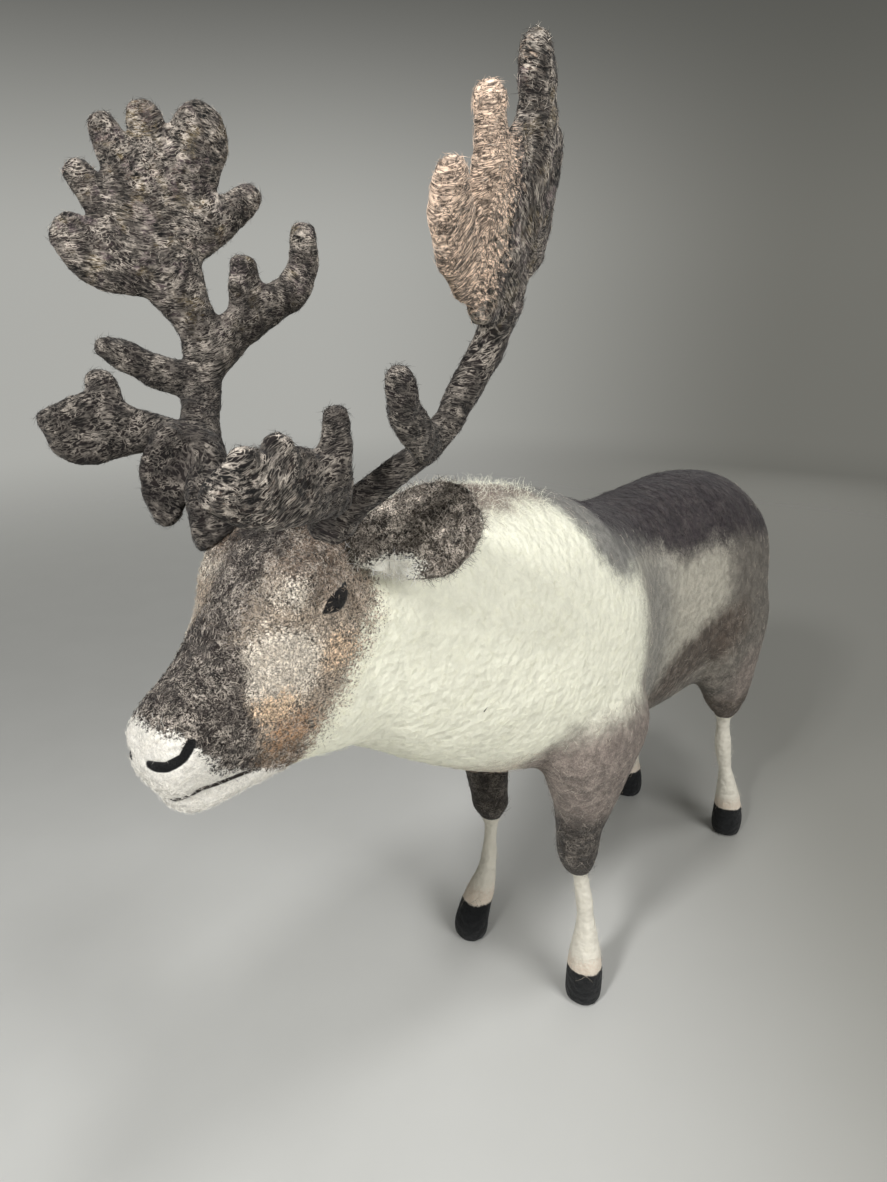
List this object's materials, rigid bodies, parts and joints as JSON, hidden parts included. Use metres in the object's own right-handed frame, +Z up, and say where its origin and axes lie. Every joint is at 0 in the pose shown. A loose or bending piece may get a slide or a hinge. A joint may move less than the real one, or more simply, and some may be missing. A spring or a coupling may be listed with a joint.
{
  "type": "reindeer figurine",
  "caption": "Free-standing needle-felted wool reindeer in a walking stance, with wide palmate antlers, cream neck, dark rump and cuffs, and small dark hooves.",
  "frame": {"origin": "centre of the bounding box at the ground, under the chest, level with the soles of the hooves", "axes": "+Z up, -Y the way the animal faces, +X the animal's own left side"},
  "size_m": [0.1614, 0.4598, 0.4147],
  "materials": {
    "body_wool": "cream felted wool with brown, grey and tan areas",
    "antler_wool": "dark brown-grey wrapped and felted wool",
    "ear_wool": "fuzzy dark grey wool with a pale rim",
    "eye_wool": "tightly felted black wool"
  },
  "bodies": {
    "root": {"body": "body_wool", "antler_left": "antler_wool", "antler_right": "antler_wool", "ear_left": "ear_wool", "ear_right": "ear_wool", "eye_left": "eye_wool", "eye_right": "eye_wool"}
  },
  "joints": []
}
